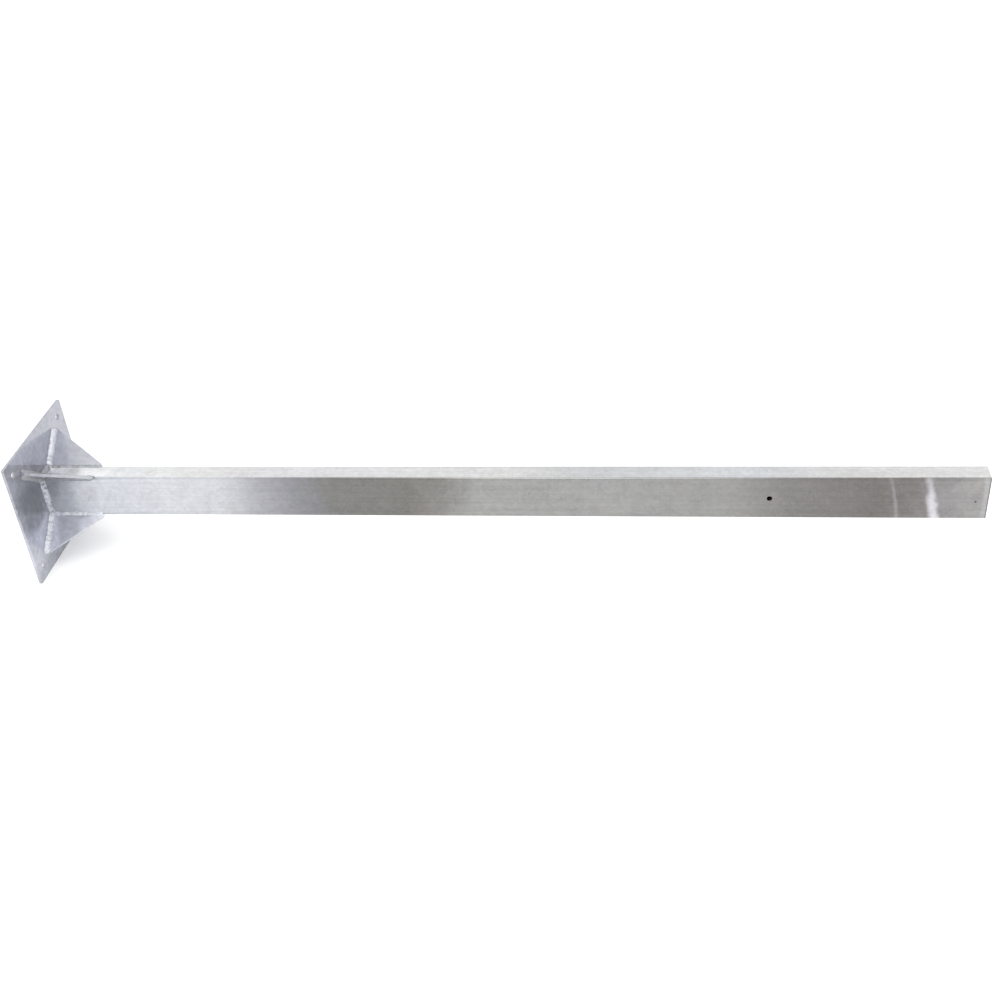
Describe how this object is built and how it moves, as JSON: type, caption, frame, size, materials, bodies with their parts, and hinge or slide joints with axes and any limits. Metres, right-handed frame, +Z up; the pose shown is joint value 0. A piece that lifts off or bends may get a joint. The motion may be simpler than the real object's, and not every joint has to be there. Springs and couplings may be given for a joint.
{
  "type": "tube arm with gusseted mounting plate",
  "caption": "Galvanised steel arm: a rectangular tube welded to a square bolt-down plate and stiffened by triangular gussets, with a cross hole near its free end.",
  "frame": {"origin": "middle of the plate's back face, at the centre of the bolt pattern", "axes": "+X along the tube away from the plate, +Z up along the tube's tall faces, +Y to the far side"},
  "size_m": [1.625, 0.24, 0.24],
  "materials": {
    "galvanised_tube": "hot-dip galvanised, satin",
    "galvanised_plate": "hot-dip galvanised, dull satin",
    "weld_metal": "rippled weld under zinc"
  },
  "bodies": {
    "root": {"rectangular_tube": "galvanised_tube", "base_plate": "galvanised_plate", "gusset_lower_far": "galvanised_plate", "gusset_lower_near": "galvanised_plate", "gusset_upper_far": "galvanised_plate", "gusset_upper_near": "galvanised_plate", "weld_gusset_to_plate_lower_far_narrow_side": "weld_metal", "weld_gusset_to_plate_lower_far_tall_side": "weld_metal", "weld_gusset_to_plate_lower_near_narrow_side": "weld_metal", "weld_gusset_to_plate_lower_near_tall_side": "weld_metal", "weld_gusset_to_plate_upper_far_narrow_side": "weld_metal", "weld_gusset_to_plate_upper_far_tall_side": "weld_metal", "weld_gusset_to_plate_upper_near_narrow_side": "weld_metal", "weld_gusset_to_plate_upper_near_tall_side": "weld_metal", "weld_gusset_to_tube_lower_far_narrow_side": "weld_metal", "weld_gusset_to_tube_lower_far_tall_side": "weld_metal", "weld_gusset_to_tube_lower_near_narrow_side": "weld_metal", "weld_gusset_to_tube_lower_near_tall_side": "weld_metal", "weld_gusset_to_tube_upper_far_narrow_side": "weld_metal", "weld_gusset_to_tube_upper_far_tall_side": "weld_metal", "weld_gusset_to_tube_upper_near_narrow_side": "weld_metal", "weld_gusset_to_tube_upper_near_tall_side": "weld_metal", "weld_tube_to_plate_bottom": "weld_metal", "weld_tube_to_plate_far": "weld_metal", "weld_tube_to_plate_near": "weld_metal", "weld_tube_to_plate_top": "weld_metal"}
  },
  "joints": []
}
